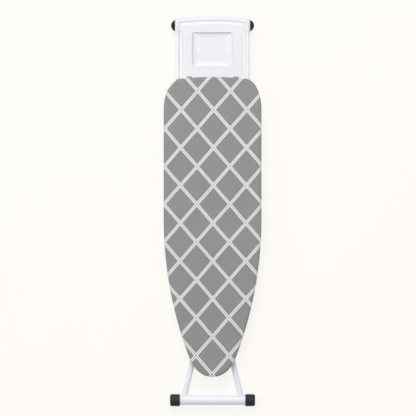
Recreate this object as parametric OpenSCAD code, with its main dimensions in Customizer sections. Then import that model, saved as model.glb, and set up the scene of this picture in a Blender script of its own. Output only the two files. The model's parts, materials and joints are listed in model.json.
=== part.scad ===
// Folding ironing board, folded flat, lying on its feet with the ironing surface up.
// Millimetres. X is across the board, +Y points to the heel and the iron rest, -Y to the nose, +Z is up.
// The origin is on the ground under the middle of the folded board.

/* [Ironing surface] */
// Greatest width of the covered board
board_w = 380; // [370:1:390]
// Distance from the origin to the tip of the nose
nose_reach = 642; // [636:1:648]
// Distance from the origin to the middle of the heel edge
heel_reach = 523.3; // [521:0.1:524]
// Thickness of the fabric cover
cover_t = 1.2; // [0.8:0.1:1.4]
// Thickness of the felt pad under the cover
felt_t = 5.2; // [3:0.1:6]
// Thickness of the steel deck and its rim
deck_t = 0.8; // [0.7:0.1:1.2]
// Height of the folded rim under the deck
rim_h = 16; // [14:0.5:16]
// Width of the elastic hem tucked under the board
hem_w = 24; // [16:1:26]

/* [Outline] */
// Radius of the nose
nose_r = 83; // [81:0.5:85]
// Angle, below the side, where the nose arc ends
nose_a = 42; // [41:0.5:43]
// Radius of the shoulder behind the nose
shoulder_r = 147; // [144:1:150]
// Angle, below the side, where the shoulder ends
shoulder_a = 21; // [20.5:0.1:21.5]
// Radius of the flank that leads into the heel corner
flank_r = 196; // [190:1:200]
// Angle where the flank ends
flank_a = 26; // [25:0.5:28]
// Radius of the heel corner
corner_r = 57; // [54:1:60]
// Angle where the heel corner ends and the bowed heel edge begins
corner_a = 83.4; // [83:0.1:84]

/* [Legs] */
// Outside diameter of the leg tubes
leg_d = 22; // [21:0.5:22]
// Wall of every steel tube
tube_wall = 1.2; // [1.2:0.1:1.4]
// Distance between the axes of the two front leg tubes
front_gauge = 94; // [93:0.5:95]
// The same distance where the front tubes meet their foot bar
front_foot_gauge = 228; // [220:1:236]
// Distance from the origin to the bend of the front tubes
front_bend_y = -458; // [-470:1:-450]
// Distance between the axes of the two rear leg tubes
rear_gauge = 146; // [145.5:0.5:147]
// The same distance where the rear tubes meet their foot bar
rear_foot_gauge = 214; // [200:1:220]
// Distance from the origin to the bend of the rear tubes
rear_bend_y = 300; // [250:5:340]
// Distance from the crossing pivot to each foot bar
foot_arm = 728.5; // [724:0.5:730]
// Diameter of the two foot bars
foot_bar_d = 38; // [34:1:40]
// Diameter of the rubber foot caps
foot_cap_d = 47; // [46:0.5:47]
// Width of the front foot over its caps
front_foot_w = 330.6; // [320:0.2:340]
// Width of the rear foot over its domed caps
rear_foot_w = 323; // [315:0.5:330]
// Length of a front foot cap
front_cap_len = 38; // [30:1:44]
// Rounding of the front caps' outer corners
cap_round = 7; // [4:0.5:8]

/* [Fold] */
// Height of the hinge pin and of the slide rod when folded
pin_z = 45; // [44.5:0.1:45]
// Y of the hinge pin that carries the front leg
hinge_y = 435; // [432:1:438]
// Y of the slide rod when folded
slide_y = -445; // [-447:1:-443]
// Angle the front leg swings through, from folded to the highest setting
fold_max = 46; // [40:0.5:46]
// Diameter of the hinge pin and of the slide rod
pin_d = 10; // [9:0.5:10]
// Diameter of the crossing pivot bolts
pivot_d = 8; // [6:0.5:8]
// Radial clearance of a pin that turns in a bore
running = 0.05; // [0.02:0.01:0.1]
// Lowest ironing height
height_low = 560; // [540:10:600]
// Highest ironing height
height_high = 905; // [880:5:905]
// Number of heights the lock offers
height_steps = 6; // [3:1:8]

/* [Iron rest] */
// Diameter of the iron rest's bent tube
rest_d = 16; // [15:0.5:16]
// Distance between the axes of its side tubes
rest_gauge = 272; // [270:1:273]
// Distance from the origin to the outermost point of the arched end
rest_reach = 757; // [755:0.5:759]
// Radius of the arched end, on the tube's axis
arch_r = 1083; // [1000:10:1200]
// Width of the rolled lip around the arched end
lip_d = 20; // [19:0.5:21]
// Width of the tray plate
tray_w = 232; // [228:1:234]
// Inside width of the tray's recess
recess_w = 161; // [155:1:165]
// Inside length of the tray's recess
recess_l = 135; // [130:1:138]
// Depth of the recess
recess_d = 10.2; // [8:0.2:11]
// Sheet thickness of the tray
tray_t = 1.2; // [1:0.1:1.5]

/* [Release lever] */
// Distance from the middle of the board to the lever's rod
lever_x = 92; // [91.5:0.1:92.5]
// Diameter of the lever's rod
lever_rod_d = 8; // [7:0.5:8]
// Length of the plastic grip
grip_len = 90; // [70:2:90]

/* [Hidden] */
$fn = 48;

sheet = 1.6;             // thickness of brackets, rail and braces
gap = 0.3;               // standing clearance between pieces that pass each other
cut = 1;                 // how far a cutting tool runs past a face
arc_steps = 9;           // chords in each arc of the outline
tube_sides = 24;         // facets around a bent tube
bend_step = 10;          // largest turn between two facets along a bend

// Levels
leg_z = foot_cap_d / 2;
deck_z = 68;
felt_z = deck_z + deck_t;
cover_z = felt_z + felt_t;
top_z = cover_z + cover_t;
rim_z = deck_z - rim_h;
hem_z = rim_z - 2.8;

// The scissor: hinge, crossing pivot and slide rod form an isosceles triangle, so the slide rod runs
// straight along the rail while the leg angles change by equal and opposite amounts.
pivot_y = (hinge_y + slide_y) / 2;
link_rise = pin_z - leg_z;
link_r = norm([hinge_y - pivot_y, link_rise]);
link_a = atan(link_rise / (hinge_y - pivot_y));
front_foot_y = pivot_y - foot_arm;
rear_foot_y = pivot_y + foot_arm;
front_leg_r = norm([hinge_y - front_foot_y, link_rise]);
front_leg_a = atan(link_rise / (hinge_y - front_foot_y));

// Y of the slide rod at a fold angle, the fold angle that gives an ironing height, and the lock's places
function slide_at(fold) = hinge_y - 2 * link_r * cos(fold + link_a);
function fold_for(height) = asin((height - (top_z - pin_z) - foot_cap_d / 2) / front_leg_r) - front_leg_a;
notch_y = [for (i = [0 : height_steps - 1])
    slide_at(fold_for(height_low + i * (height_high - height_low) / (height_steps - 1)))];
slide_end_y = slide_at(fold_max);

// Outline: six arcs a side that run into each other. Each entry is [centre x, centre y, radius, from, to].
function along(c, r, a) = [c[0] + r * cos(a), c[1] + r * sin(a)];
nose_c = [0, nose_r - nose_reach];
shoulder_c = along(nose_c, nose_r - shoulder_r, -nose_a);
side_r = (board_w / 2 - shoulder_c[0] - shoulder_r * cos(shoulder_a)) / (1 - cos(shoulder_a));
side_c = along(shoulder_c, shoulder_r - side_r, -shoulder_a);
heel_r = corner_r + (board_w / 2 - flank_r - (corner_r - flank_r) * cos(flank_a)) / cos(corner_a);
heel_c = [0, heel_reach - heel_r];
corner_c = along(heel_c, heel_r - corner_r, corner_a);
flank_c = along(corner_c, corner_r - flank_r, flank_a);
ARCS = [
    [nose_c, nose_r, -90, -nose_a],
    [shoulder_c, shoulder_r, -nose_a, -shoulder_a],
    [side_c, side_r, -shoulder_a, 0],
    [flank_c, flank_r, 0, flank_a],
    [corner_c, corner_r, flank_a, corner_a],
    [heel_c, heel_r, corner_a, 90]
];
function arc_points(arc, inset) = [for (i = [0 : arc_steps])
    along(arc[0], arc[1] - inset, arc[2] + i * (arc[3] - arc[2]) / arc_steps)];
function half_outline(inset) = [for (arc = ARCS) each arc_points(arc, inset)];

// Half width of the board at a given Y
function arc_x(arc, y) = arc[0][0] + sqrt(max(0, pow(arc[1], 2) - pow(y - arc[0][1], 2)));
function arc_end_y(arc) = arc[0][1] + arc[1] * sin(arc[3]);
function half_width(y) =
    y < arc_end_y(ARCS[0]) ? arc_x(ARCS[0], y) :
    y < arc_end_y(ARCS[1]) ? arc_x(ARCS[1], y) :
    y < side_c[1] ? arc_x(ARCS[2], y) :
    y < flank_c[1] ? board_w / 2 :
    y < arc_end_y(ARCS[3]) ? arc_x(ARCS[3], y) : arc_x(ARCS[4], y);

module outline(inset) {
    right = half_outline(inset);
    left = [for (i = [len(right) - 1 : -1 : 0]) [-right[i][0], right[i][1]]];
    polygon(concat(right, left));
}

module slab(inset, z, h) {
    translate([0, 0, z]) linear_extrude(h) outline(inset);
}

// ---------- shared shapes ----------

module both_sides() {
    children();
    mirror([1, 0, 0]) children();
}

module box(low, high) {
    translate(low) cube(high - low);
}

module bar_x(r, from, to) {
    translate([from, 0, 0]) rotate([0, 90, 0]) cylinder(r = r, h = to - from);
}

module bar_y(r, from, to) {
    translate([0, from, 0]) rotate([-90, 0, 0]) cylinder(r = r, h = to - from);
}

// A flat shape drawn in X and Z, thickened along Y
module upright(from, to) {
    translate([0, to, 0]) rotate([90, 0, 0]) linear_extrude(to - from) children();
}

module rounded_rect(w, l, r) {
    square([w, l - 2 * r], center = true);
    square([w - 2 * r, l], center = true);
    for (x = [-1, 1], y = [-1, 1])
        translate([x * (w / 2 - r), y * (l / 2 - r)]) circle(r);
}

module round_slot(length, width) {
    square([length - width, width], center = true);
    for (end = [-1, 1]) translate([end * (length - width) / 2, 0]) circle(width / 2);
}

// Sweeps a round section along a centreline that never points straight up
function unit(v) = v / norm(v);
function heading(path, i) =
    let (before = i == 0 ? path[1] - path[0] : path[i] - path[i - 1],
         after = i == len(path) - 1 ? before : path[i + 1] - path[i])
    unit(unit(before) + unit(after));
function ring(centre, along, r) =
    let (side = unit(cross(along, [0, 0, 1])), up = cross(side, along))
    [for (i = [0 : tube_sides - 1])
        centre + r * (cos(360 * i / tube_sides) * side + sin(360 * i / tube_sides) * up)];

module sweep(path, r) {
    last = len(path) - 1;
    points = [for (i = [0 : last]) each ring(path[i], heading(path, i), r)];
    sides = [for (i = [0 : last - 1], k = [0 : tube_sides - 1])
        let (a = i * tube_sides + k, b = i * tube_sides + (k + 1) % tube_sides)
        each [[a, b, a + tube_sides], [b, b + tube_sides, a + tube_sides]]];
    start = [for (k = [tube_sides - 1 : -1 : 0]) k];
    end = [for (k = [0 : tube_sides - 1]) last * tube_sides + k];
    polyhedron(points, concat([start], sides, [end]));
}

// The same centreline, longer by extra at one or both ends
function longer(path, start_extra, end_extra) =
    let (last = len(path) - 1)
    concat(
        [path[0] - start_extra * unit(path[1] - path[0])],
        [for (i = [1 : last - 1]) path[i]],
        [path[last] + end_extra * unit(path[last] - path[last - 1])]);

function flip_x(path) = [for (p = path) [-p[0], p[1], p[2]]];
function flip_y(path) = [for (p = path) [p[0], -p[1], p[2]]];
function reversed(path) = [for (i = [len(path) - 1 : -1 : 0]) path[i]];
function moved(path, by) = [for (p = path) p + by];

// ---------- board ----------

vent_d = 16;
vent_dx = 62;
vent_dy = 54;
vent_margin = 20;
clamp_ys = [350, 476];
clamp_bolt_x = rest_d / 2 + 9;
screw_r = 2;

module vents() {
    for (row = [-11 : 9], column = [-3 : 3]) {
        x = (column + (row % 2 == 0 ? 0 : 0.5)) * vent_dx;
        y = row * vent_dy - 20;
        if (abs(x) + vent_d / 2 + vent_margin < half_width(y))
            translate([x, y]) circle(vent_d / 2);
    }
}

module at_clamp_screws() {
    for (side = [-1, 1], y = clamp_ys, end = [-1, 1])
        translate([side * rest_gauge / 2 + end * clamp_bolt_x, y, 0]) children();
}

skirt_inset = cover_t + gap;

module ironing_deck() {
    color("silver") difference() {
        slab(skirt_inset, deck_z, deck_t);
        translate([0, 0, deck_z - cut]) linear_extrude(deck_t + 2 * cut) vents();
        at_clamp_screws() translate([0, 0, deck_z - cut]) cylinder(r = screw_r, h = deck_t + 2 * cut);
    }
}

rest_z = deck_z - 1 - rest_d / 2;

module rest_side_holes(clearance) {
    both_sides() translate([rest_gauge / 2, 0, rest_z])
        bar_y(rest_d / 2 + clearance, hinge_y + 40, heel_reach + 10);
}

module deck_rim() {
    color("white") difference() {
        slab(skirt_inset, rim_z, rim_h);
        slab(skirt_inset + deck_t, rim_z - cut, rim_h + 2 * cut);
        rest_side_holes(1);
    }
}

module felt_pad() {
    color("ivory") slab(skirt_inset, felt_z, felt_t);
}

module cover() {
    color("gray") difference() {
        slab(0, hem_z, top_z - hem_z);
        slab(cover_t, hem_z - cut, cover_z - hem_z + cut);
        rest_side_holes(0.8);
    }
}

module cover_hem() {
    color("dimgray") difference() {
        slab(cover_t, hem_z, cover_t);
        slab(hem_w, hem_z - cut, cover_t + 2 * cut);
    }
}

// A channel that opens upwards against the deck
module cross_brace(half_length, from, to, low) {
    difference() {
        box([-half_length, from, low], [half_length, to, deck_z]);
        box([-half_length - cut, from + sheet, low + sheet], [half_length + cut, to - sheet, deck_z + cut]);
    }
}

front_brace_y = -525;
front_brace_z = 60;
brace_w = 40;
rear_brace_z = 58;

module front_cross_brace() {
    color("white") cross_brace(half_width(front_brace_y - brace_w / 2) - 7,
        front_brace_y - brace_w / 2, front_brace_y + brace_w / 2, front_brace_z);
}

module rear_cross_brace() {
    color("white") cross_brace(rest_gauge / 2 - rest_d / 2 - 3,
        hinge_y - brace_w / 2, hinge_y + brace_w / 2, rear_brace_z);
}

rail_half_w = 24;
rail_z = 36;
rail_from = -492;
rail_to = -98;
slot_play = 0.4;

// Rail: a channel that opens downwards. The slide rod runs in the slots through its two walls.
module height_rail() {
    slot_r = pin_d / 2 + slot_play;
    inner = rail_half_w - sheet;
    color("white") difference() {
        box([-rail_half_w, rail_from, rail_z], [rail_half_w, rail_to, deck_z]);
        box([-inner, rail_from - cut, rail_z - cut], [inner, rail_to + cut, deck_z - sheet]);
        box([-rail_half_w - cut, slide_y, pin_z - slot_r], [rail_half_w + cut, slide_end_y, pin_z + slot_r]);
        for (y = [slide_y, slide_end_y])
            translate([0, y, pin_z]) bar_x(slot_r, -rail_half_w - cut, rail_half_w + cut);
    }
}

sleeve_half = front_gauge / 2 + leg_d / 2 + 0.5;
bracket_x = sleeve_half + 1;
bracket_t = 2;

module hinge_brackets() {
    color("white") difference() {
        both_sides() {
            box([bracket_x, hinge_y - 12, pin_z], [bracket_x + bracket_t, hinge_y + 12, rear_brace_z]);
            translate([0, hinge_y, pin_z]) bar_x(8.5, bracket_x, bracket_x + bracket_t);
        }
        translate([0, hinge_y, pin_z]) bar_x(pin_d / 2, -bracket_x - 2 * bracket_t, bracket_x + 2 * bracket_t);
    }
}

pin_half = bracket_x + bracket_t + 2;

module hinge_pin() {
    color("silver") translate([0, hinge_y, pin_z]) bar_x(pin_d / 2, -pin_half, pin_half);
}

module hinge_pin_caps() {
    color("black") translate([0, hinge_y, pin_z]) both_sides() difference() {
        bar_x(7, bracket_x + bracket_t, pin_half + 2);
        bar_x(pin_d / 2, 0, pin_half);
    }
}

// ---------- iron rest ----------

rest_bend_r = 12;
arch_cy = rest_reach - lip_d / 2 - arch_r;
arch_half_a = asin((rest_gauge / 2 - rest_bend_r) / (arch_r - rest_bend_r));
rest_bend_y = arch_cy + (arch_r - rest_bend_r) * cos(arch_half_a);
rest_from = 330;

// Right half of the bent tube, from its end under the board to the middle of the arch
function rest_half() = concat(
    [[rest_gauge / 2, rest_from, rest_z]],
    [for (i = [0 : 8]) let (a = i * (90 - arch_half_a) / 8)
        [rest_gauge / 2 - rest_bend_r * (1 - cos(a)), rest_bend_y + rest_bend_r * sin(a), rest_z]],
    [for (i = [1 : 8]) let (a = arch_half_a * (1 - i / 8))
        [arch_r * sin(a), arch_cy + arch_r * cos(a), rest_z]]);
REST_PATH = let (half = rest_half(), other = reversed(flip_x(half)))
    concat(half, [for (i = [1 : len(other) - 1]) other[i]]);

module iron_rest_frame() {
    color("white") difference() {
        sweep(REST_PATH, rest_d / 2);
        sweep(longer(REST_PATH, cut, cut), rest_d / 2 - tube_wall);
    }
}

tray_z = rest_z + rest_d / 2;
tray_from = heel_reach + 1.5;
recess_y = 630;
recess_corner = 12;
ear_y = 700;
side_gap = (rest_gauge - rest_d - tray_w) / 2;
flange_h = 7;

module tray_plate() {
    intersection() {
        translate([0, arch_cy]) circle(arch_r - 4, $fn = 360);
        difference() {
            union() {
                translate([-tray_w / 2, tray_from]) square([tray_w, rest_reach - tray_from]);
                translate([-rest_gauge / 2, ear_y]) square([rest_gauge, rest_reach - ear_y]);
            }
            for (side = [-1, 1]) translate([side * (tray_w + side_gap) / 2, ear_y]) circle(side_gap / 2);
        }
    }
}

// The rolled lip hugs the arched tube from its outer side, over the top, to the plate
module tray_lip() {
    reach_a = 40;
    translate([0, arch_cy, rest_z])
        rotate_extrude(angle = 2 * arch_half_a, start = 90 - arch_half_a, $fn = 1440) translate([arch_r, 0])
            difference() {
                circle(lip_d / 2, $fn = 48);
                circle(rest_d / 2, $fn = 48);
                rotate(reach_a - 90) translate([-lip_d, -lip_d]) square([2 * lip_d, lip_d]);
                translate([-lip_d, -lip_d]) square([lip_d, lip_d + rest_d / 2]);
            }
}

module iron_rest_tray() {
    floor_z = tray_z + tray_t - recess_d - tray_t;
    color("whitesmoke") difference() {
        union() {
            translate([0, 0, tray_z]) linear_extrude(tray_t) tray_plate();
            translate([0, recess_y, floor_z]) linear_extrude(tray_z - floor_z + tray_t)
                rounded_rect(recess_w + 2 * tray_t, recess_l + 2 * tray_t, recess_corner + tray_t);
            both_sides() box([tray_w / 2 - tray_t, tray_from, tray_z - flange_h],
                [tray_w / 2, ear_y - 8, tray_z + tray_t / 2]);
            tray_lip();
        }
        translate([0, recess_y, floor_z + tray_t]) linear_extrude(recess_d + cut)
            rounded_rect(recess_w, recess_l, recess_corner);
        translate([0, recess_y, floor_z - cut]) linear_extrude(tray_t + 2 * cut) {
            for (x = [-1, 1], y = [-1, 1])
                translate([60 * x, 51 * y - 2]) rotate(45 * x * y) round_slot(33, 10);
            for (x = [-1, 1]) translate([56 * x, -4]) circle(6.5);
        }
    }
}

module rest_clamps() {
    r = rest_d / 2;
    wing = clamp_bolt_x + 5;
    color("silver") for (side = [-1, 1], y = clamp_ys)
        difference() {
            translate([side * rest_gauge / 2, 0, rest_z]) upright(y - 8, y + 8) {
                difference() {
                    union() {
                        circle(r + sheet);
                        translate([-r - sheet, 0]) square([2 * (r + sheet), deck_z - rest_z]);
                        translate([-wing, deck_z - rest_z - sheet]) square([2 * wing, sheet]);
                    }
                    circle(r);
                    translate([-r, 0]) square([2 * r, deck_z - rest_z + cut]);
                }
            }
            at_clamp_screws() translate([0, 0, deck_z - sheet - cut]) cylinder(r = screw_r, h = sheet + 2 * cut);
        }
}

module clamp_screws() {
    color("silver") at_clamp_screws() {
        translate([0, 0, deck_z - sheet - 1.7]) cylinder(r = 3.5, h = 1.7);
        translate([0, 0, deck_z - sheet - 0.5]) cylinder(r = screw_r, h = sheet + deck_t + 0.5);
    }
}

// ---------- lever and lock ----------

lever_z = 60;
lever_rod_r = lever_rod_d / 2;
lever_rod_from = -500;
lever_rod_to = -94;
lever_bracket_ys = [-495, -300, -99];
arm_ys = [-478, -112];
arm_w = 10;
hub_r = 6.5;

module lever_brackets() {
    color("white") for (y = lever_bracket_ys) upright(y - 1, y + 1)
        translate([lever_x, lever_z]) difference() {
            union() {
                circle(6);
                translate([-6, 0]) square([12, deck_z - lever_z]);
            }
            circle(lever_rod_r + running);
        }
}

module release_rod() {
    color("silver") translate([lever_x, 0, lever_z]) bar_y(lever_rod_r, lever_rod_from, lever_rod_to);
}

comb_x = rail_half_w + 1.2;
comb_t = 2;
comb_top = pin_z - pin_d / 2 - 0.4;
comb_h = 14;

// Toothed bar under the slide rod, carried from the lever's rod by an arm at each end
module locking_comb() {
    color("silver") {
        translate([comb_x, 0, 0]) rotate([90, 0, 90]) linear_extrude(comb_t) difference() {
            union() {
                translate([arm_ys[0] - arm_w / 2, comb_top - comb_h])
                    square([arm_ys[1] - arm_ys[0] + arm_w, comb_h]);
                for (y = arm_ys) translate([y - arm_w / 2, comb_top - comb_h])
                    square([arm_w, lever_z - comb_top + comb_h - 2]);
            }
            for (y = notch_y) translate([y, comb_top]) circle(pin_d / 2 + gap);
        }
        for (y = arm_ys) upright(y - arm_w / 2, y + arm_w / 2) difference() {
            union() {
                translate([comb_x, lever_z - 4]) square([lever_x - comb_x, 2]);
                translate([lever_x, lever_z]) circle(hub_r);
            }
            translate([lever_x, lever_z]) circle(lever_rod_r);
        }
    }
}

grip_x = 158;
grip_z = 30;
grip_w = 32;
grip_h = 12;
grip_y = -170;
lever_arm_w = 24;
lever_arm_t = 2.4;

// Section of the strap from the rod out to the grip
module lever_strap() {
    low_x = grip_x - grip_w / 2 - 6;
    high_x = low_x - 20;
    polygon([
        [lever_x, lever_z - lever_arm_t], [high_x, lever_z - lever_arm_t],
        [low_x, grip_z - lever_arm_t / 2], [grip_x + 8, grip_z - lever_arm_t / 2],
        [grip_x + 8, grip_z + lever_arm_t / 2], [low_x + lever_arm_t, grip_z + lever_arm_t / 2],
        [high_x + lever_arm_t, lever_z], [lever_x, lever_z]
    ]);
}

module lever_arm() {
    color("silver") upright(grip_y - lever_arm_w / 2, grip_y + lever_arm_w / 2) difference() {
        union() {
            translate([lever_x, lever_z]) circle(hub_r);
            lever_strap();
        }
        translate([lever_x, lever_z]) circle(lever_rod_r);
    }
}

module lever_grip() {
    color("black") difference() {
        upright(grip_y - grip_len / 2, grip_y + grip_len / 2)
            translate([grip_x, grip_z]) rounded_rect(grip_w, grip_h, 5);
        upright(grip_y - lever_arm_w / 2, grip_y + lever_arm_w / 2) lever_strap();
    }
}

// Close-wound torsion spring around the rod: one leg under the deck, one under the comb's arm
spring_wire_r = 0.8;
spring_mean_r = lever_rod_r + 1.6;
spring_turns = 6;
spring_y = arm_ys[1] - arm_w / 2 - 14;

module return_spring() {
    pitch = 2 * spring_wire_r - 0.1;
    color("gray") translate([lever_x, spring_y, lever_z]) {
        rotate([-90, 0, 0]) rotate_extrude() for (turn = [0 : spring_turns - 1])
            translate([spring_mean_r, spring_wire_r + turn * pitch]) circle(spring_wire_r, $fn = 16);
        translate([spring_mean_r, spring_wire_r, 0])
            cylinder(r = spring_wire_r, h = deck_z - lever_z - 0.5, $fn = 16);
    }
}

// ---------- storage clips ----------

front_splay = atan((front_foot_gauge - front_gauge) / 2 / (front_bend_y - front_foot_y));
rear_splay = atan((rear_foot_gauge - rear_gauge) / 2 / (rear_foot_y - rear_bend_y));

module storage_clips() {
    r = leg_d / 2 + gap;
    wall = 2.5;
    x = front_gauge / 2 + (front_bend_y - front_brace_y) * tan(front_splay);
    color("gainsboro") both_sides() translate([x, front_brace_y, leg_z]) rotate(front_splay) upright(-7, 7)
        difference() {
            union() {
                circle(r + wall);
                translate([-r - wall, -6]) square([2 * (r + wall), 6]);
                translate([-8, 0]) square([16, front_brace_z - leg_z]);
            }
            circle(r);
            translate([-r, -r - 2 * wall]) square([2 * r, r + 2 * wall]);
            translate([-2 * r, -r - 2 * wall]) square([4 * r, r + 2 * wall - 6]);
        }
}

// ---------- slider ----------

module slide_block() {
    half = rail_half_w - sheet - 0.5;
    color("gainsboro") difference() {
        box([-half, slide_y - 18, rail_z + 1], [half, slide_y + 18, deck_z - sheet - 1]);
        translate([0, slide_y, pin_z]) bar_x(pin_d / 2 + running, -half - cut, half + cut);
    }
}

// ---------- legs ----------

joggle_r = 40;
joggle_a = 30;
joggle_mid = (link_rise - 2 * joggle_r * (1 - cos(joggle_a))) / sin(joggle_a);
joggle_run = 2 * joggle_r * sin(joggle_a) + joggle_mid * cos(joggle_a);
splay_r = 60;
front_lead = 22;
rear_lead = 14;
rear_tail = 12;

// Centreline of a leg tube, heading to +Y: the run at pin level, a joggle down by link_rise, the level run,
// the outward bend, and the run to the foot bar
function leg_line(lead, to_bend, splay, foot_run) =
    let (joggle_end = lead + joggle_run,
         tangent = splay_r * tan(splay / 2),
         bend = to_bend - tangent)
    concat(
        [[0, 0, 0]],
        [for (a = [0 : bend_step : joggle_a]) [0, lead + joggle_r * sin(a), -joggle_r * (1 - cos(a))]],
        [for (a = [joggle_a : -bend_step : 0])
            [0, joggle_end - joggle_r * sin(a), -link_rise + joggle_r * (1 - cos(a))]],
        [for (i = [0 : 3]) let (a = i * splay / 3)
            [splay_r * (1 - cos(a)), bend + splay_r * sin(a), -link_rise]],
        [[foot_run * sin(splay), to_bend + foot_run * cos(splay), -link_rise]]);

FRONT_PATH = moved(
    flip_y(leg_line(front_lead, hinge_y - front_bend_y, front_splay,
        norm([front_bend_y - front_foot_y, (front_foot_gauge - front_gauge) / 2]))),
    [front_gauge / 2, hinge_y, pin_z]);
REAR_PATH = moved(
    leg_line(rear_lead + rear_tail, rear_bend_y - slide_y + rear_tail, rear_splay,
        norm([rear_foot_y - rear_bend_y, (rear_foot_gauge - rear_gauge) / 2])),
    [rear_gauge / 2, slide_y - rear_tail, pin_z]);

module front_leg() {
    far = front_foot_w;
    difference() {
        sweep(FRONT_PATH, leg_d / 2);
        sweep(longer(FRONT_PATH, cut, 0), leg_d / 2 - tube_wall);
        translate([0, hinge_y, pin_z]) bar_x(sleeve_r, 0, far);
        translate([0, front_foot_y, leg_z]) bar_x(foot_bar_d / 2, 0, far);
        translate([0, pivot_y, leg_z]) bar_x(pivot_d / 2, 0, far);
    }
}

module rear_leg() {
    far = rear_foot_w;
    difference() {
        sweep(REAR_PATH, leg_d / 2);
        sweep(longer(REAR_PATH, cut, 0), leg_d / 2 - tube_wall);
        translate([0, slide_y, pin_z]) bar_x(pin_d / 2, 0, far);
        translate([0, rear_foot_y, leg_z]) bar_x(foot_bar_d / 2, 0, far);
        translate([0, pivot_y, leg_z]) bar_x(pivot_d / 2 + running, 0, far);
    }
}

module rear_leg_right() { color("white") rear_leg(); }
module rear_leg_left() { color("white") mirror([1, 0, 0]) rear_leg(); }
module front_leg_right() { color("white") front_leg(); }
module front_leg_left() { color("white") mirror([1, 0, 0]) front_leg(); }

cap_wall = 2.4;

module foot_bar(half) {
    difference() {
        bar_x(foot_bar_d / 2, -half, half);
        bar_x(foot_bar_d / 2 - tube_wall, -half - cut, half + cut);
    }
}

front_bar_half = front_foot_w / 2 - cap_wall;
dome_x = (rear_foot_w - foot_cap_d) / 2;
rear_bar_half = dome_x + 8;
rear_cap_grip = 14;

module front_foot_bar() {
    color("white") translate([0, front_foot_y, leg_z]) foot_bar(front_bar_half);
}

module rear_foot_bar() {
    color("white") translate([0, rear_foot_y, leg_z]) foot_bar(rear_bar_half);
}

// Rubber cup over the end of the bar, with rounded outer corners
module front_foot_caps() {
    r = foot_cap_d / 2;
    outer = front_foot_w / 2;
    color("dimgray") translate([0, front_foot_y, leg_z]) both_sides() difference() {
        rotate([0, 90, 0]) rotate_extrude() {
            translate([0, outer - front_cap_len]) square([r, front_cap_len - cap_round]);
            translate([0, outer - cap_round]) square([r - cap_round, cap_round]);
            translate([r - cap_round, outer - cap_round]) intersection() {
                circle(cap_round);
                square(cap_round);
            }
        }
        bar_x(foot_bar_d / 2, 0, front_bar_half);
    }
}

// Rubber cup with a domed end
module rear_foot_caps() {
    r = foot_cap_d / 2;
    color("dimgray") translate([0, rear_foot_y, leg_z]) both_sides() difference() {
        rotate([0, 90, 0]) rotate_extrude() {
            translate([0, dome_x - rear_cap_grip]) square([r, rear_cap_grip]);
            translate([0, dome_x]) intersection() {
                circle(r);
                square(r);
            }
        }
        bar_x(foot_bar_d / 2, 0, rear_bar_half);
    }
}

rod_half = rear_gauge / 2 + leg_d / 2 + 3;

module slide_rod() {
    color("silver") translate([0, slide_y, pin_z]) bar_x(pin_d / 2, -rod_half, rod_half);
}

module slide_rod_caps() {
    color("black") translate([0, slide_y, pin_z]) both_sides() difference() {
        bar_x(6.8, rod_half - 2.8, rod_half + 1.5);
        bar_x(pin_d / 2, 0, rod_half);
    }
}

module rear_leg_plugs() {
    color("black") both_sides() translate([rear_gauge / 2, slide_y - rear_tail, pin_z]) {
        bar_y(leg_d / 2, -2, 0);
        bar_y((leg_d / 2 - tube_wall) * cos(180 / tube_sides) - running, 0, 5);
    }
}

sleeve_r = 8;

module front_hinge_sleeve() {
    color("white") translate([0, hinge_y, pin_z]) difference() {
        bar_x(sleeve_r, -sleeve_half, sleeve_half);
        bar_x(pin_d / 2 + running, -sleeve_half - cut, sleeve_half + cut);
    }
}

inner_x = front_gauge / 2 - leg_d / 2;
outer_x = rear_gauge / 2 + leg_d / 2;
bolt_head_t = 4;
nut_t = 5.5;

module pivot_bolts() {
    color("silver") translate([0, pivot_y, leg_z]) both_sides() {
        bar_x(pivot_d / 2, inner_x - nut_t - 1.5, outer_x + gap);
        bar_x(7.5, outer_x + gap, outer_x + gap + bolt_head_t);
    }
}

module pivot_washers() {
    from = front_gauge / 2 + leg_d / 2;
    to = rear_gauge / 2 - leg_d / 2 - gap;
    color("gainsboro") translate([0, pivot_y, leg_z]) both_sides() difference() {
        bar_x(9, from, to);
        bar_x(pivot_d / 2, from - cut, to + cut);
    }
}

module pivot_nuts() {
    color("silver") translate([0, pivot_y, leg_z]) both_sides() difference() {
        translate([inner_x - nut_t, 0, 0]) rotate([0, 90, 0]) cylinder(r = 7.5, h = nut_t, $fn = 6);
        bar_x(pivot_d / 2, inner_x - nut_t - cut, inner_x + cut);
    }
}

ironing_deck();
deck_rim();
front_cross_brace();
rear_cross_brace();
height_rail();
hinge_brackets();
hinge_pin();
hinge_pin_caps();
iron_rest_frame();
iron_rest_tray();
rest_clamps();
clamp_screws();
felt_pad();
cover();
cover_hem();
lever_brackets();
return_spring();
storage_clips();
release_rod();
locking_comb();
lever_arm();
lever_grip();
slide_block();
rear_leg_left();
rear_leg_right();
rear_foot_bar();
rear_foot_caps();
slide_rod();
slide_rod_caps();
rear_leg_plugs();
front_leg_left();
front_leg_right();
front_foot_bar();
front_foot_caps();
front_hinge_sleeve();
pivot_bolts();
pivot_washers();
pivot_nuts();
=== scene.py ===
"""Looks of a folding ironing board: printed cover over felt, white enamelled tubes, pressed iron rest.

Everything is in metres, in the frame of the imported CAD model: X across, +Y to the iron rest, +Z up.
"""

import json
import math

import bpy
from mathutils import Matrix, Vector, noise

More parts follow.
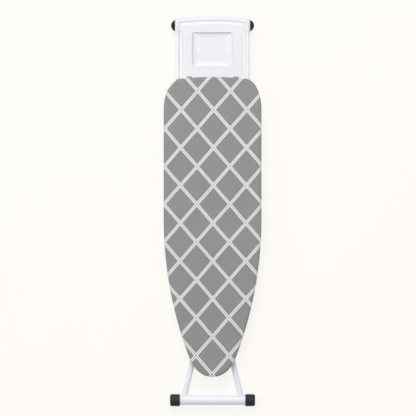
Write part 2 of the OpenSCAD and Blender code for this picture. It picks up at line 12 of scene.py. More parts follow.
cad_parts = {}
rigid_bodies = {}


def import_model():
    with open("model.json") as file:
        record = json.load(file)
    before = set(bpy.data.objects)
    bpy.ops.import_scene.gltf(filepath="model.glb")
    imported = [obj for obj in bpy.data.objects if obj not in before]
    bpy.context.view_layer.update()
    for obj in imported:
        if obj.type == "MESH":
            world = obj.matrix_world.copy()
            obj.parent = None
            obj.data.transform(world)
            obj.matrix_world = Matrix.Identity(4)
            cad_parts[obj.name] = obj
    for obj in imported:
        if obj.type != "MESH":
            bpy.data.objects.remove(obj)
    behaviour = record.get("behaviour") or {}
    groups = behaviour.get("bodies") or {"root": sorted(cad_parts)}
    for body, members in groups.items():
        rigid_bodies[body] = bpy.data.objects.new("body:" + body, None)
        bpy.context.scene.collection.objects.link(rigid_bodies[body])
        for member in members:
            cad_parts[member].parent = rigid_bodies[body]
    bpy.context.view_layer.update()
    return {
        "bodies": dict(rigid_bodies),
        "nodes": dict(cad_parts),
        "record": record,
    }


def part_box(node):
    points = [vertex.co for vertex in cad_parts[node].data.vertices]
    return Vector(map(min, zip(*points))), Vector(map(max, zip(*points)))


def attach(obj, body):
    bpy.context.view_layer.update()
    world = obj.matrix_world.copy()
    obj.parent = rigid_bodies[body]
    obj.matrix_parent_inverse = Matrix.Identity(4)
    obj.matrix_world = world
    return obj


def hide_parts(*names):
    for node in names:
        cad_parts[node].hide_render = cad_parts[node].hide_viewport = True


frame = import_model()

MM = 0.001
NODES = frame["nodes"]
BODIES = frame["bodies"]


# ---------------------------------------------------------------- meshes


def add_mesh(name, points, faces, material, smooth=True):
    """A new object from points and faces, with one material."""
    mesh = bpy.data.meshes.new(name)
    mesh.from_pydata([tuple(p) for p in points], [], faces)
    mesh.validate()
    mesh.materials.append(material)
    mesh.polygons.foreach_set("use_smooth", [smooth] * len(mesh.polygons))
    mesh.update()
    piece = bpy.data.objects.new(name, mesh)
    bpy.context.scene.collection.objects.link(piece)
    return piece


def ring_faces(ring_count, per_ring):
    """Quads between consecutive rings of points, each ring closed on itself."""
    faces = []
    for ring in range(ring_count - 1):
        for i in range(per_ring):
            j = (i + 1) % per_ring
            a, b = ring * per_ring, (ring + 1) * per_ring
            faces.append((a + i, b + i, b + j, a + j))
    return faces


def apply_modifiers(piece):
    """Puts the modifiers' result in the mesh's place."""
    bpy.context.view_layer.update()
    evaluated = piece.evaluated_get(bpy.context.evaluated_depsgraph_get())
    mesh = bpy.data.meshes.new_from_object(evaluated)
    piece.modifiers.clear()
    old = piece.data
    piece.data = mesh
    bpy.data.meshes.remove(old)


def cut_with(piece, cutters):
    """Cuts closed meshes out of a closed mesh and removes the cutters."""
    for cutter in cutters:
        boolean = piece.modifiers.new("cut", "BOOLEAN")
        boolean.object = cutter
        boolean.operation = "DIFFERENCE"
        boolean.solver = "EXACT"
    apply_modifiers(piece)
    for cutter in cutters:
        bpy.data.objects.remove(cutter)


def shade_by_angle(piece, degrees):
    """Smooth shading, but for edges sharper than an angle."""
    piece.data.polygons.foreach_set("use_smooth", [True] * len(piece.data.polygons))
    piece.data.set_sharp_from_angle(angle=math.radians(degrees))


def directions(path, closed=False):
    """Unit direction at each point of a path, halfway between the pieces that meet there."""
    count = len(path)
    result = []
    for i in range(count):
        before = path[i] - path[i - 1] if (closed or i > 0) else path[1] - path[0]
        after = path[(i + 1) % count] - path[i] if (closed or i < count - 1) else before
        result.append((before.normalized() + after.normalized()).normalized())
    return result


def sweep(name, path, radius, material, sides=32, closed=False, up=Vector((0, 0, 1)), section=None,
          mitred=False):
    """A bar along a path: round, or with another section. radius is a number or one per point.

    mitred widens the section where a path has a sharp corner, so that it keeps its width past it.
    """
    path = [Vector(p) for p in path]
    radii = radius if hasattr(radius, "__len__") else [radius] * len(path)
    outline = section or [
        (math.cos(2 * math.pi * k / sides), math.sin(2 * math.pi * k / sides)) for k in range(sides)
    ]
    points = []
    for i, (along, r) in enumerate(zip(directions(path, closed), radii)):
        centre = path[i]
        side = along.cross(up).normalized()
        rise = side.cross(along)
        if mitred and i > 0:
            side /= (centre - path[i - 1]).normalized().dot(along)
        points += [centre + r * (x * side + y * rise) for x, y in outline]
    per_ring = len(outline)
    faces = ring_faces(len(path), per_ring)
    last = (len(path) - 1) * per_ring
    if closed:
        faces += [(last + i, i, (i + 1) % per_ring, last + (i + 1) % per_ring) for i in range(per_ring)]
    else:
        faces += [tuple(range(per_ring)), tuple(reversed(range(last, last + per_ring)))]
    piece = add_mesh(name, points, faces, material)
    shade_by_angle(piece, 50)
    return piece


def arc(centre_x, centre_y, radius, start, end, steps):
    """Points of a flat arc, with angles in degrees."""
    return [
        (
            centre_x + radius * math.cos(math.radians(start + (end - start) * i / steps)),
            centre_y + radius * math.sin(math.radians(start + (end - start) * i / steps)),
        )
        for i in range(steps + 1)
    ]


def prism(name, outline, low, high):
    """A closed upright prism, used as a cutter."""
    count = len(outline)
    points = [(x, y, low) for x, y in outline] + [(x, y, high) for x, y in outline]
    faces = [tuple(reversed(range(count))), tuple(range(count, 2 * count))]
    faces += [(i, (i + 1) % count, count + (i + 1) % count, count + i) for i in range(count)]
    return add_mesh(name, points, faces, materials["nylon"])


# ---------------------------------------------------------------- materials


class Shader:
    """One material under construction: its node tree and its Principled shader."""

    def __init__(self, name, **sockets):
        self.material = bpy.data.materials.new(name)
        self.material.use_nodes = True
        self.tree = self.material.node_tree
        self.shader = self.tree.nodes["Principled BSDF"]
        for socket, value in sockets.items():
            self.shader.inputs[socket.replace("_", " ")].default_value = value
        self.place = self.add("ShaderNodeTexCoord").outputs["Object"]

    def add(self, kind, inputs=(), **settings):
        """A new node. inputs maps its sockets to other nodes' outputs or to plain values."""
        node = self.tree.nodes.new(kind)
        for key, value in settings.items():
            setattr(node, key, value)
        for socket, value in dict(inputs).items():
            self.feed(value, node.inputs[socket])
        return node

    def feed(self, value, socket):
        if isinstance(value, bpy.types.NodeSocket):
            self.tree.links.new(value, socket)
        else:
            socket.default_value = value

    def math(self, operation, *values):
        node = self.add("ShaderNodeMath", operation=operation)
        for i, value in enumerate(values):
            self.feed(value, node.inputs[i])
        return node.outputs[0]

    def noise(self, scale, detail=3.0, stretch=None, roughness=0.5):
        place = self.place
        if stretch:
            mapping = self.add("ShaderNodeMapping", {"Vector": place, "Scale": stretch})
            place = mapping.outputs[0]
        node = self.add(
            "ShaderNodeTexNoise",
            {"Vector": place, "Scale": scale, "Detail": detail, "Roughness": roughness},
        )
        return node.outputs["Fac"]

    def ramp(self, value, low, high, to_low=0.0, to_high=1.0, smooth=False):
        node = self.add(
            "ShaderNodeMapRange",
            {0: value, 1: low, 2: high, 3: to_low, 4: to_high},
            interpolation_type="SMOOTHSTEP" if smooth else "LINEAR",
        )
        return node.outputs[0]

    def mix(self, factor, first, second):
        node = self.add("ShaderNodeMix", data_type="RGBA")
        self.feed(factor, node.inputs[0])
        self.feed(first, node.inputs[6])
        self.feed(second, node.inputs[7])
        return node.outputs[2]

    def colour(self, value):
        self.feed(value, self.shader.inputs["Base Color"])

    def roughness(self, value):
        self.feed(value, self.shader.inputs["Roughness"])

    def bump(self, *layers):
        """Each layer is (height, strength, distance in metres)."""
        normal = None
        for height, strength, distance in layers:
            node = self.add("ShaderNodeBump", {"Height": height, "Strength": strength, "Distance": distance})
            if normal:
                self.feed(normal, node.inputs["Normal"])
            normal = node.outputs[0]
        self.feed(normal, self.shader.inputs["Normal"])


def grey(value, warm):
    """A linear grey, a little warmer or cooler."""
    return (value * (1 + warm), value, value * (1 - warm), 1)


def enamel(name, light, dark, gloss):
    """Powder coat: faint orange peel, and slightly uneven colour and gloss."""
    s = Shader(name, Coat_Weight=0.12, Coat_Roughness=0.25)
    s.colour(s.mix(s.ramp(s.noise(9, 4), 0.35, 0.7), light, dark))
    s.roughness(s.ramp(s.noise(60, 4), 0.3, 0.7, gloss - 0.06, gloss + 0.08))
    s.bump((s.noise(380, 2), 0.05, 0.0003))
    return s.material


def zinc(name, tone, stretch):
    """Bright zinc plate: long drawing marks and cloudy dull patches."""
    s = Shader(name, Metallic=1.0, Anisotropic=0.3)
    clouds = s.noise(45, 5)
    marks = s.noise(1, 4, stretch)
    dulled = tone * 0.72
    s.colour(s.mix(s.ramp(clouds, 0.35, 0.7), grey(tone, -0.02), grey(dulled, 0.03)))
    s.roughness(s.ramp(marks, 0.3, 0.7, 0.22, 0.42))
    s.bump((marks, 0.15, 0.0002))
    return s.material


def moulded(name, light, dark, gloss, grain, depth):
    """Moulded rubber or plastic: spark-eroded grain and scuffs."""
    s = Shader(name, Specular_IOR_Level=0.3)
    scuffs = s.ramp(s.noise(70, 6, roughness=0.65), 0.56, 0.72)
    s.colour(s.mix(scuffs, light, dark))
    s.roughness(s.ramp(s.noise(240, 4), 0.3, 0.7, gloss - 0.08, gloss + 0.1))
    s.bump((s.noise(grain, 3), 0.35, depth), (s.noise(grain * 0.2, 3), 0.15, depth * 2))
    return s.material


FIBRE_DARK, FIBRE_LIGHT = (0.62, 0.59, 0.52, 1), (0.8, 0.78, 0.72, 1)


def felt_material():
    """Matted wool fibres lying across the board, with soft tufts."""
    s = Shader("felt_fibre", Sheen_Weight=0.4, Roughness=0.95)
    fibres = s.noise(1, 5, (900, 260, 900))
    tufts = s.noise(140, 5)
    s.colour(s.mix(s.ramp(fibres, 0.3, 0.7), FIBRE_DARK, FIBRE_LIGHT))
    s.bump((fibres, 0.5, 0.0005), (tufts, 0.4, 0.001))
    return s.material


TRELLIS_X = 127.7 * MM  # one diamond across
TRELLIS_Y = 146.8 * MM  # one diamond along the board
TRELLIS_START = Vector((2.4 * MM, -632 * MM))  # a crossing near the nose
TRELLIS_SKEW = 0.0065  # how far the cloth was cut off its print's grain
BAND_HALF = 5.55 * MM  # half the width of a pale line
BAND_SOFT = 0.4 * MM  # bleeding at its edges
CORE_HALF = 1.8 * MM  # half the width of the stitched line along its middle
CORE_INK = 0.95
STITCHES = 34  # along one side of a diamond
WANDER = 1.3 * MM  # how far the lines stray where the cloth is pulled
RAGGED = 0.3 * MM  # unevenness of a line's edges
THREAD = 1.15 * MM  # pitch of the weave
GROUND_DARK = (0.218, 0.218, 0.217, 1)
GROUND_LIGHT = (0.298, 0.298, 0.297, 1)
PRINT_DARK = (0.75, 0.75, 0.742, 1)
PRINT_LIGHT = (0.86, 0.86, 0.852, 1)
PRINT_CORE = (0.12, 0.12, 0.118, 1)


def cotton(name, printed):
    """Woven cotton, plain or printed with a pale trellis. It reads the flat cut's own coordinates."""
    s = Shader(name, Sheen_Weight=0.02, Sheen_Roughness=0.5, Specular_IOR_Level=0.15)
    flat = s.add("ShaderNodeUVMap", uv_map="flat").outputs[0]
    s.place = flat
    parts = s.add("ShaderNodeSeparateXYZ", {0: flat})
    x, y = parts.outputs[0], parts.outputs[1]

    # The weave: threads over and under, with slubs along both directions
    warp = s.math("SINE", s.math("MULTIPLY", x, 2 * math.pi / THREAD))
    weft = s.math("SINE", s.math("MULTIPLY", y, 2 * math.pi / THREAD))
    weave = s.math("MULTIPLY", warp, weft)
    slubs = s.math("ADD", s.noise(1, 3, (90, 1100, 1)), s.noise(1, 3, (1100, 90, 1)))
    fading = s.noise(7, 4)
    ground = s.mix(s.ramp(slubs, 0.75, 1.25), GROUND_DARK, GROUND_LIGHT)
    ground = s.mix(s.ramp(fading, 0.35, 0.7, 0.0, 0.35), ground, GROUND_LIGHT)
    ground = s.mix(s.ramp(weave, -1, 1, 0.0, 0.18), ground, GROUND_DARK)
    colour = ground
    if printed:
        # The cloth is pulled on by hand, so the lines wander a little
        wander = s.ramp(s.noise(5, 1), 0.3, 0.7, -WANDER, WANDER)
        straight = s.math("SUBTRACT", s.math("ADD", x, wander), s.math("MULTIPLY", y, TRELLIS_SKEW))
        across = s.math("DIVIDE", s.math("SUBTRACT", straight, TRELLIS_START.x), TRELLIS_X)
        along = s.math("DIVIDE", s.math("SUBTRACT", y, TRELLIS_START.y), TRELLIS_Y)
        to_metres = 1 / math.hypot(1 / TRELLIS_X, 1 / TRELLIS_Y)
        lines = [s.math("ADD", across, along), s.math("SUBTRACT", across, along)]
        bands, cores = [], []
        for line, other in (lines, reversed(lines)):
            distance = s.math("MULTIPLY", s.math("PINGPONG", line, 0.5), to_metres)
            wobble = s.math("ADD", distance, s.ramp(s.noise(900, 2), 0.3, 0.7, -RAGGED, RAGGED))
            bands.append(s.ramp(wobble, BAND_HALF - BAND_SOFT, BAND_HALF + BAND_SOFT, 1.0, 0.0, smooth=True))
            stitch = s.math("SINE", s.math("MULTIPLY", other, 2 * math.pi * STITCHES))
            core = s.ramp(distance, CORE_HALF * 0.5, CORE_HALF, 1.0, 0.0, smooth=True)
            cores.append(s.math("MULTIPLY", core, s.ramp(stitch, -1, 1, 0.6, 1.0)))
        band = s.math("MAXIMUM", *bands)
        core = s.math("MAXIMUM", *cores)
        pale = s.mix(s.ramp(slubs, 0.75, 1.25), PRINT_DARK, PRINT_LIGHT)
        colour = s.mix(band, ground, pale)
        colour = s.mix(s.math("MULTIPLY", core, CORE_INK), colour, PRINT_CORE)
    s.colour(colour)
    s.roughness(s.ramp(slubs, 0.7, 1.3, 0.92, 0.78))
    s.bump((weave, 0.3, 0.00012), (slubs, 0.2, 0.0002))
    return s.material


PAPER_GLOW = (1.0, 0.974, 0.94, 1)


def floor_material():
    """Cream studio paper, lit from within so that it stays pale under the board."""
    s = Shader("floor_paper", Roughness=0.9, Emission_Color=PAPER_GLOW, Emission_Strength=0.845)
    s.colour(s.mix(s.noise(3, 3), (0.12, 0.117, 0.113, 1), (0.13, 0.126, 0.122, 1)))
    return s.material


def backdrop_material():
    """The same paper far away, with no shading of its own."""
    s = Shader("backdrop_paper", Roughness=1.0, Emission_Color=PAPER_GLOW, Emission_Strength=0.98)
    s.colour((0, 0, 0, 1))
    return s.material


materials = {
    "white_enamel": enamel("white_powder_coat", (0.785, 0.797, 0.845, 1), (0.76, 0.772, 0.825, 1), 0.42),
    "tray_enamel": enamel("tray_powder_coat", (0.72, 0.73, 0.77, 1), (0.7, 0.712, 0.755, 1), 0.46),
    "deck_steel": enamel("deck_powder_coat", (0.6, 0.61, 0.63, 1), (0.55, 0.56, 0.59, 1), 0.45),
    "zinc": zinc("zinc_plate", 0.68, (40, 900, 900)),
    "zinc_long": zinc("zinc_drawn_bar", 0.66, (900, 30, 900)),
    "rubber": moulded("foot_rubber", (0.014, 0.0155, 0.018, 1), (0.036, 0.04, 0.044, 1), 0.55, 900, 0.0003),
    # Painted shade: the same foot rubber made darker for the rear caps, standing in for the shade they lie in
    "rubber_rear_painted_shade": moulded(
        "rear_foot_rubber_painted_shade", (0.005, 0.0058, 0.007, 1), (0.014, 0.016, 0.018, 1), 0.6, 900, 0.0003
    ),
    "black_plastic": moulded(
        "black_moulding", (0.022, 0.022, 0.024, 1), (0.05, 0.05, 0.054, 1), 0.45, 1300, 0.0002
    ),
    "nylon": moulded("natural_nylon", (0.76, 0.755, 0.73, 1), (0.69, 0.68, 0.65, 1), 0.4, 700, 0.0002),
    "felt": felt_material(),
    "cover": cotton("trellis_cotton", printed=True),
    "hem": cotton("plain_cotton", printed=False),
    "floor": floor_material(),
    "backdrop": backdrop_material(),
}
CAD_SLOTS = ("white_enamel", "tray_enamel", "deck_steel", "zinc", "rubber", "black_plastic", "nylon")
# The rear foot caps take the darker rubber, which is painted shade, not a different rubber
OWN_MATERIAL = {"release_rod": "zinc_long", "locking_comb": "zinc_long", "rear_foot_caps": "rubber_rear_painted_shade"}


def dress_cad_nodes():
    """Gives every carried-over CAD node the full material of its slot, or one of its own."""
    for subpart in frame["record"]["subparts"]:
        node, slot = subpart["node"], subpart["material_slot"]
        if slot in CAD_SLOTS:
            NODES[node].data.materials.clear()
            NODES[node].data.materials.append(materials[OWN_MATERIAL.get(node, slot)])


# ---------------------------------------------------------------- the board's outline

# Radius of each arc of the outline, and the angle at which the next one takes over
NOSE_R, NOSE_A = 83 * MM, 42.0
SHOULDER_R, SHOULDER_A = 147 * MM, 21.0
FLANK_R, FLANK_A = 196 * MM, 26.0
CORNER_R, CORNER_A = 57 * MM, 83.4

cover_low, cover_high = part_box("cover")
BOARD_HALF = cover_high.x
TOP_Z = cover_high.z
HEM_Z = cover_low.z


def turn(degrees):
    """Unit vector at an angle from +X."""
    return Vector((math.cos(math.radians(degrees)), math.sin(math.radians(degrees))))


def outline_arcs():
    """Right half of the covered board as arcs that run into each other: (centre, radius, from, to)."""
    nose = Vector((0, cover_low.y + NOSE_R))
    shoulder = nose + (NOSE_R - SHOULDER_R) * turn(-NOSE_A)
    cos_s = math.cos(math.radians(SHOULDER_A))
    side_r = (BOARD_HALF - shoulder.x - SHOULDER_R * cos_s) / (1 - cos_s)
    side = shoulder + (SHOULDER_R - side_r) * turn(-SHOULDER_A)
    cos_f, cos_c = math.cos(math.radians(FLANK_A)), math.cos(math.radians(CORNER_A))
    heel_r = CORNER_R + (BOARD_HALF - FLANK_R - (CORNER_R - FLANK_R) * cos_f) / cos_c
    heel = Vector((0, cover_high.y - heel_r))
    corner = heel + (heel_r - CORNER_R) * turn(CORNER_A)
    flank = corner + (CORNER_R - FLANK_R) * turn(FLANK_A)
    return [
        (nose, NOSE_R, -90, -NOSE_A),
        (shoulder, SHOULDER_R, -NOSE_A, -SHOULDER_A),
        (side, side_r, -SHOULDER_A, 0),
        (flank, FLANK_R, 0, FLANK_A),
        (corner, CORNER_R, FLANK_A, CORNER_A),
        (heel, heel_r, CORNER_A, 90),
    ]


def outline_rim(spacing):
    """Points right round the board as (point, outward direction, distance along the edge)."""
    arcs = outline_arcs()
    pieces, length = [], 0.0
    for i, (centre, radius, start, end) in enumerate(arcs):
        pieces.append((length, centre, radius, start, end, "arc"))
        length += radius * math.radians(end - start)
        if i == 2:
            straight = arcs[3][0].y - centre.y
            pieces.append((length, Vector((BOARD_HALF, centre.y)), straight, 0, 0, "line"))
            length += straight
    count = round(length / spacing)
    half = []
    for k in range(count + 1):
        s = length * k / count
        start_s, centre, size, start, end, kind = [p for p in pieces if p[0] <= s + 1e-9][-1]
        if kind == "arc":
            out = turn(start + math.degrees((s - start_s) / size))
            half.append((centre + size * out, out, s))
        else:
            half.append((centre + Vector((0, s - start_s)), Vector((1, 0)), s))
    left = [(Vector((-p.x, p.y)), Vector((-o.x, o.y)), 2 * length - s) for p, o, s in reversed(half[1:-1])]
    return half + left


SPINE_NOSE, SPINE_HEEL = 70 * MM, 120 * MM  # how far the middle line stops short of the nose and the heel
GATHER_PITCH = 14.5 * MM  # usual distance between two ripples of the hem


def spine_point(point):
    """The point on the board's middle line that an edge point looks at."""
    share = (point.y - cover_low.y) / (cover_high.y - cover_low.y)
    nose_end, heel_end = cover_low.y + SPINE_NOSE, cover_high.y - SPINE_HEEL
    return Vector((0, nose_end + share * (heel_end - nose_end)))


def gathers(s):
    """Uneven ripples of a hem drawn in by elastic, from -1 to 1, at distance s along the edge."""
    drift = noise.noise(Vector((s * 9, 3.1, 0))) * 5
    size = 0.65 + 0.35 * noise.noise(Vector((s * 26, 8.7, 0)))
    return size * math.sin(2 * math.pi * s / GATHER_PITCH + drift)


def smooth_share(value):
    """0 up to 0 and 1 from 1 on, with soft ends between."""
    share = min(1.0, max(0.0, value))
    return share * share * (3 - 2 * share)


def tube_crossing(place):
    """1 where the cover's opening passes under a tube of the iron rest, 0 away from there."""
    if place.y < 0:
        return 0.0
    return smooth_share((CROSSING_HALF - abs(abs(place.x) - REST_HALF)) / CROSSING_EASE)


def slow_waves(x, y, seed):
    """Broad unevenness of the padding, about -1.4 to 1.4."""
    return noise.noise(Vector((x * 9, y * 6, seed))) + 0.4 * noise.noise(Vector((x * 24, y * 17, seed + 5)))


EDGE_REACH, EDGE_DROP = 13 * MM, 7.2 * MM  # rounding of the padded top edge
CROWN_REACH, CROWN_DROP = 60 * MM, 0.9 * MM  # how the felt thins towards the edge
LOW_R = 3.2 * MM  # rounding where the cover turns under
HEM_REACH = 22 * MM  # how far the cover runs in under the board
HEM_DIP = 3.4 * MM  # how far its opening is let down to pass under a tube
CROSSING_HALF, CROSSING_EASE = 26 * MM, 12 * MM  # half width of that dip, and of its soft ends
CLOTH = 0.7 * MM  # thickness of the cotton
CLEAR = 0.1 * MM  # what keeps the cloth inside the CAD solid it stands for
TOP_RINGS = 16  # rings of points from the middle line to the rounded edge
WELD_GAP = 0.05 * MM  # joins the points that meet on the middle line


def padded_height(inset):
    """Height of the cover's top at a distance in from the edge, as the felt thins and rounds off."""
    crown = CROWN_DROP * max(0.0, 1 - inset / CROWN_REACH) ** 2
    bend = max(0.0, 1 - inset / EDGE_REACH)
    return TOP_Z - crown - EDGE_DROP * (1 - math.sqrt(1 - bend * bend))


def cover_profile():
    """Steps from the flat top, over the edge, to the hem: (inset, height, puckers, gathers).

    The last two are shares from 0 to 1 of the side's puckers and of the hem's gathers.
    """
    steps = []
    for i in range(11):
        inset = EDGE_REACH * (1 - math.sin(math.radians(9 * i)))
        steps.append((inset, padded_height(inset), i * 0.05, 0))
    side_low = HEM_Z + LOW_R
    side_top = steps[-1][1]
    for share in (0.25, 0.5, 0.75):
        steps.append((0.0, side_top + share * (side_low - side_top), 0.5 + share * 0.5, share * 0.3))
    for i in range(5):
        a = math.radians(90 * i / 4)
        steps.append((LOW_R * (1 - math.cos(a)), side_low - LOW_R * math.sin(a), 1, 0.4 + 0.1 * i))
    inset = LOW_R
    while inset < HEM_REACH:
        inset = min(inset + 2.6 * MM, HEM_REACH)
        steps.append((inset, HEM_Z, 0, 0.8 + 0.2 * inset / HEM_REACH))
    return steps


def make_cover(rim):
    """The printed cover: flat over the felt, round over the edge, gathered underneath."""
    points, flat = [], []
    profile = cover_profile()
    for ring in range(TOP_RINGS):
        share = 1 - (1 - ring / TOP_RINGS) ** 1.5
        for place, out, _ in rim:
            edge = place - out * profile[0][0]
            p = spine_point(place).lerp(edge, share)
            inset = profile[0][0] + (edge - p).length
            calm = min(1.0, (1 - share) * 3)
            dip = (0.35 + 0.35 * slow_waves(p.x, p.y, 2.0)) * MM * (0.3 + 0.7 * calm)
            points.append((p.x, p.y, padded_height(inset) - dip))
            flat.append((p.x, p.y))
    travelled = 0.0
    for i, (inset, z, pucker, gather) in enumerate(profile):
        if i:
            travelled += math.hypot(inset - profile[i - 1][0], z - profile[i - 1][1])
        for place, out, s in rim:
            ripple = noise.noise(Vector((s * 42, 1.3, 0))) * pucker * 0.28 * MM
            crossing = tube_crossing(place - out * HEM_REACH)
            fold = gathers(s) * gather * (1 - crossing)
            sink = inset + 0.15 * MM + abs(ripple) + max(0.0, -fold) * 0.25 * MM
            p = place - out * sink
            rise = 0.0
            if z <= HEM_Z + LOW_R:
                under = max(0.0, inset - LOW_R) / (HEM_REACH - LOW_R)
                rise = (fold + 1) * 0.55 * MM * gather - crossing * under * HEM_DIP
            points.append((p.x, p.y, z + rise - CLEAR))
            start = place - out * profile[0][0]
            flat.append(tuple(start + out * travelled))
    faces = ring_faces(TOP_RINGS + len(profile), len(rim))
    cover = add_mesh("printed_cover", points, faces, materials["cover"])
    layer = cover.data.uv_layers.new(name="flat")
    for loop in cover.data.loops:
        layer.data[loop.index].uv = flat[loop.vertex_index]
    weld = cover.modifiers.new("close_middle", "WELD")
    weld.merge_threshold = WELD_GAP
    shell = cover.modifiers.new("thickness", "SOLIDIFY")
    shell.thickness = CLOTH
    shell.offset = -1
    apply_modifiers(cover)
    cut_with(cover, [tube_cutter(side) for side in (-1, 1)])
    shade_by_angle(cover, 60)
    return cover


HOLE_PLAY = 0.9 * MM  # between the tube and the hole's edge
EYELET_PLAY = 1.3 * MM  # between the tube and the middle of the eyelet's binding
BINDING_R = 0.9 * MM
EYELET_POINTS = 40


def tube_cutter(side):
    """Round hole in the cover's heel wall where a side tube of the iron rest comes out."""
    low, high = cover_high.y - 60 * MM, cover_high.y + 10 * MM
    path = [(side * REST_HALF, low, REST_Z), (side * REST_HALF, high, REST_Z)]
    return sweep("tube_cutter", path, REST_R + HOLE_PLAY, materials["nylon"], sides=28)


def make_eyelet(side):
    """Bound edge of that hole."""
    path = []
    for k in range(EYELET_POINTS):
        a = 2 * math.pi * k / EYELET_POINTS
        x = side * REST_HALF + (REST_R + EYELET_PLAY) * math.cos(a)
        z = REST_Z + (REST_R + EYELET_PLAY) * math.sin(a)
        path.append((x, heel_y(x) - 0.2 * MM, z))
    name = "cover_eyelet_" + ("right" if side > 0 else "left")
    eyelet = sweep(name, path, BINDING_R, materials["hem"], sides=8, closed=True, up=Vector((0, 1, 0.01)))
    add_flat_coordinates(eyelet)
    return eyelet


def heel_y(x):
    """Y of the heel edge at x."""
    for centre, radius, start, _ in reversed(outline_arcs()):
        if abs(x) <= (centre + radius * turn(start)).x:
            return centre.y + math.sqrt(radius**2 - (abs(x) - centre.x) ** 2)
    return cover_high.y


def add_flat_coordinates(piece):
    """Weave coordinates for a small piece: its own X, and Y and Z together."""
    layer = piece.data.uv_layers.new(name="flat")
    for loop in piece.data.loops:
        co = piece.data.vertices[loop.vertex_index].co
        layer.data[loop.index].uv = (co.x, co.y + co.z)


HEM_R = 2.0 * MM  # usual radius of the elastic's casing


def make_hem(rim):
    """Elastic casing round the cover's opening: a puckered roll."""
    path, radii = [], []
    for place, out, s in rim:
        crossing = tube_crossing(place - out * HEM_REACH)
        fold = gathers(s) * (1 - crossing)
        p = place - out * (HEM_REACH + 1.2 * MM + 0.5 * fold * MM)
        path.append((p.x, p.y, HEM_Z + (1.5 + 0.5 * fold) * MM - crossing * HEM_DIP))
        radii.append(HEM_R + 0.45 * fold * MM)
    hem = sweep("elastic_hem", path, radii, materials["hem"], sides=10, closed=True)
    add_flat_coordinates(hem)
    return hem


FELT_GAP = 1.4 * MM  # from the cover's outside to the felt


def make_felt(rim):
    """Felt pad: a soft slab under the cover, rounded off round its edge and a little uneven."""
    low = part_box("felt_pad")[0].z
    rings = [(share, None, None) for share in (0, 0.25, 0.5, 0.75, 0.9)]
    for i in range(6):
        a = math.radians(12 * i)
        outside = EDGE_REACH * (1 - math.sin(a))
        z = max(low + 0.9 * MM, padded_height(outside) - FELT_GAP * math.cos(a))
        rings.append((None, outside + FELT_GAP * math.sin(a), z))
    rings.append((None, rings[-1][1] + 0.5 * MM, low))
    rings += [(share, None, low) for share in (0.9, 0.5, 0)]
    points = []
    for share, inset, z in rings:
        for place, out, _ in rim:
            if share is None:
                p = place - out * inset
                points.append((p.x, p.y, z))
                continue
            edge_place = place - out * EDGE_REACH
            p = spine_point(place).lerp(edge_place, share)
            if z is None:
                wave = 0.15 * (1 + slow_waves(p.x, p.y, 9.0)) * MM
                height = padded_height(EDGE_REACH + (edge_place - p).length) - FELT_GAP - 0.5 * MM - wave
            else:
                height = z
            points.append((p.x, p.y, height))
    felt = add_mesh("felt_underlay", points, ring_faces(len(rings), len(rim)), materials["felt"])
    weld = felt.modifiers.new("close_middle", "WELD")
    weld.merge_threshold = WELD_GAP
    apply_modifiers(felt)
    return felt


# ---------------------------------------------------------------- tubes


def box_middle(node):
    """Middle of a CAD node's box."""
    low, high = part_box(node)
    return [(a + b) / 2 for a, b in zip(low, high)]


HINGE_Y, PIN_Z = box_middle("hinge_pin")[1:]
SLIDE_Y = box_middle("slide_rod")[1]
FRONT_FOOT_Y, LEG_Z = box_middle("front_foot_bar")[1:]
REAR_FOOT_Y = box_middle("rear_foot_bar")[1]
FOOT_BAR_R = (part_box("front_foot_bar")[1].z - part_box("front_foot_bar")[0].z) / 2
LEG_R = 11 * MM
JOGGLE_R, JOGGLE_A = 40 * MM, 30.0  # the two bends that bring a tube down from its pin to its foot
SPLAY_R = 60 * MM  # the bend where a tube turns outward
REAR_TAIL = 12 * MM  # how far the rear tubes run on past the slide rod
WELD_DEPTH = 4 * MM  # how far inside the foot bar's surface a tube ends
BEAD_POINTS = 48


def leg_line(lead, to_bend, splay, foot_run):
    """Centreline of a leg tube heading to +Y from its pin: level, a joggle down, level, bend out, foot."""
    drop = PIN_Z - LEG_Z
    rise, run = 1 - math.cos(math.radians(JOGGLE_A)), math.sin(math.radians(JOGGLE_A))
    middle = (drop - 2 * JOGGLE_R * rise) / run
    joggle_end = lead + 2 * JOGGLE_R * run + middle * math.cos(math.radians(JOGGLE_A))
    tangent = SPLAY_R * math.tan(math.radians(splay / 2))
    path = [Vector((0, 0, 0))]
    for i in range(9):
        a = math.radians(JOGGLE_A * i / 8)
        path.append(Vector((0, lead + JOGGLE_R * math.sin(a), -JOGGLE_R * (1 - math.cos(a)))))
    for i in range(9):
        a = math.radians(JOGGLE_A * (1 - i / 8))
        path.append(Vector((0, joggle_end - JOGGLE_R * math.sin(a), -drop + JOGGLE_R * (1 - math.cos(a)))))
    for i in range(7):
        a = math.radians(splay * i / 6)
        path.append(Vector((SPLAY_R * (1 - math.cos(a)), to_bend - tangent + SPLAY_R * math.sin(a), -drop)))
    a = math.radians(splay)
    path.append(Vector((foot_run * math.sin(a), to_bend + foot_run * math.cos(a), -drop)))
    return path


# start: the pin's axis, or the tube's end past it; toward: the way along Y to the foot;
# lead: level run before the bends; gauge_half, foot_half: X of the tube at its pin and at its foot bar
FRONT_LEG = {
    "body": "front_leg",
    "start": Vector((0, HINGE_Y, PIN_Z)),
    "toward": -1,
    "lead": 22 * MM,
    "bend_y": -458 * MM,
    "gauge_half": 47 * MM,
    "foot_half": 114 * MM,
    "foot_y": FRONT_FOOT_Y,
}
REAR_LEG = {
    "body": "rear_leg",
    "start": Vector((0, SLIDE_Y - REAR_TAIL, PIN_Z)),
    "toward": 1,
    "lead": 26 * MM,
    "bend_y": 300 * MM,
    "gauge_half": 73 * MM,
    "foot_half": 107 * MM,
    "foot_y": REAR_FOOT_Y,
}


